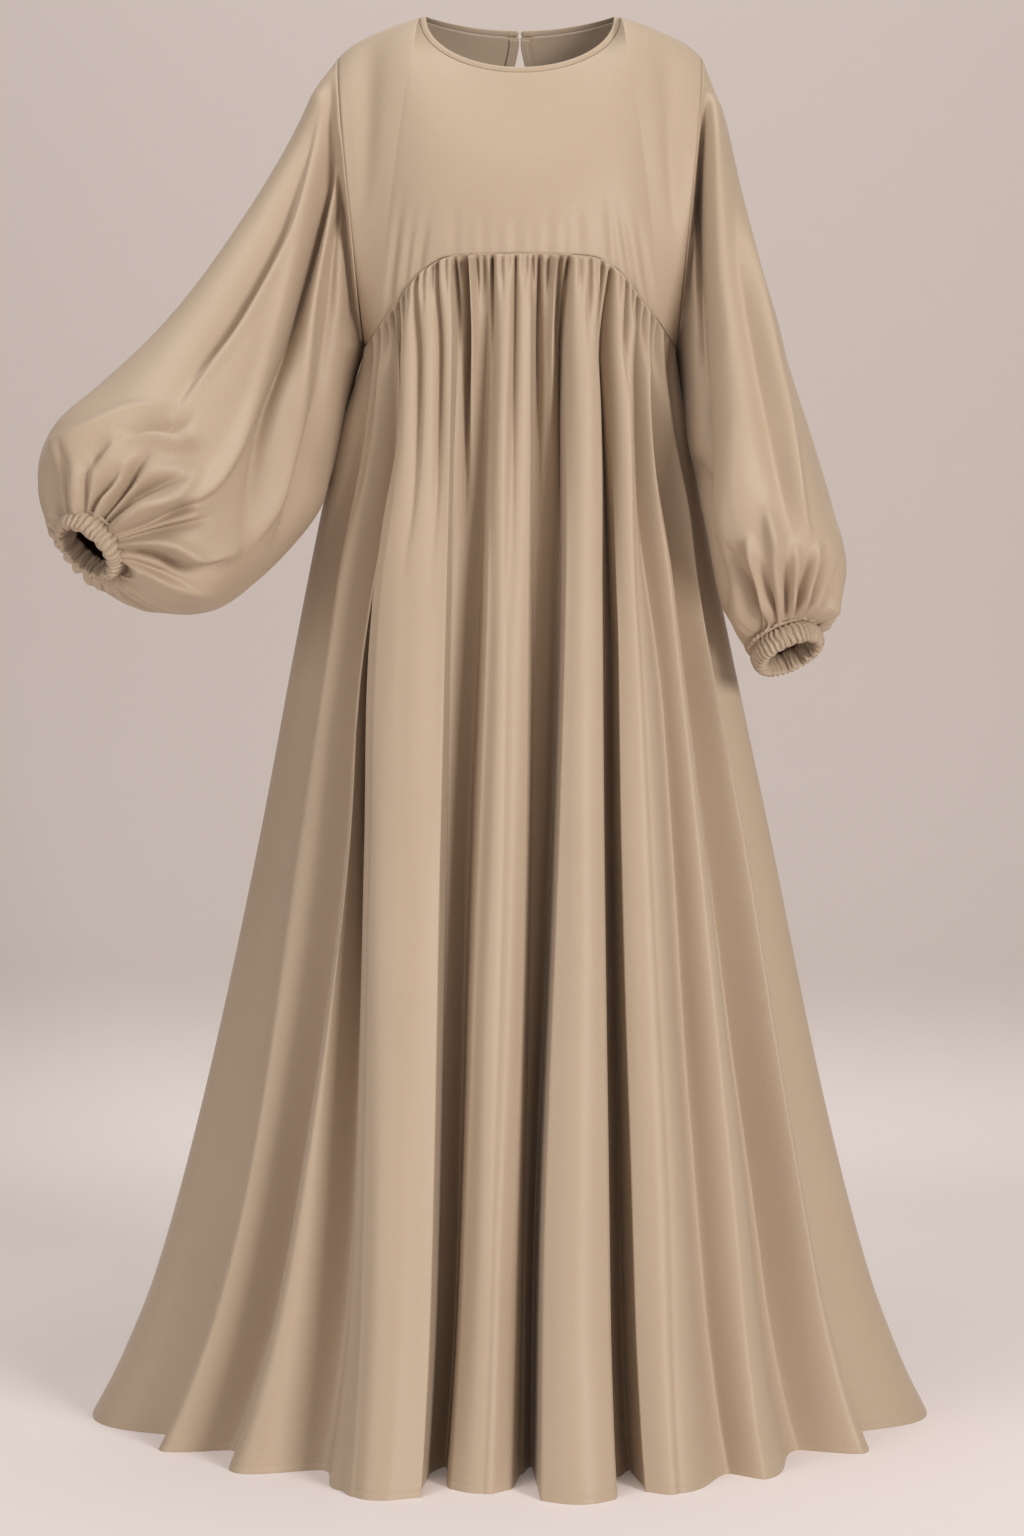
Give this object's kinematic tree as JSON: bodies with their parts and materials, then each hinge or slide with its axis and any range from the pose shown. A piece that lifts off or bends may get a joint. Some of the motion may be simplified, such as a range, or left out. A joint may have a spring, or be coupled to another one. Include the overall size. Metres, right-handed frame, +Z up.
{
  "type": "abaya",
  "caption": "Long plain abaya with a round bound neck, an arched gathered seam under the bust, full sleeves with ruched elastic cuffs and a wide floor-length skirt.",
  "frame": {"origin": "midway between the two neck points, where the garment hangs from the wearer's shoulders", "axes": "+X to the wearer's left, -Y out of the front, +Z up"},
  "size_m": [0.895, 0.7322, 1.4566],
  "materials": {
    "crepe": "smooth satin-backed crepe, beige taupe, soft sheen",
    "binding": "the same crepe, folded double and stitched"
  },
  "bodies": {
    "root": {"yoke_front": "crepe", "yoke_back": "crepe", "keyhole_facing": "crepe", "neck_binding": "binding", "skirt_front": "crepe", "skirt_back": "crepe", "sleeve_right": "crepe", "sleeve_left": "crepe", "cuff_right": "binding", "cuff_left": "binding"}
  },
  "joints": []
}
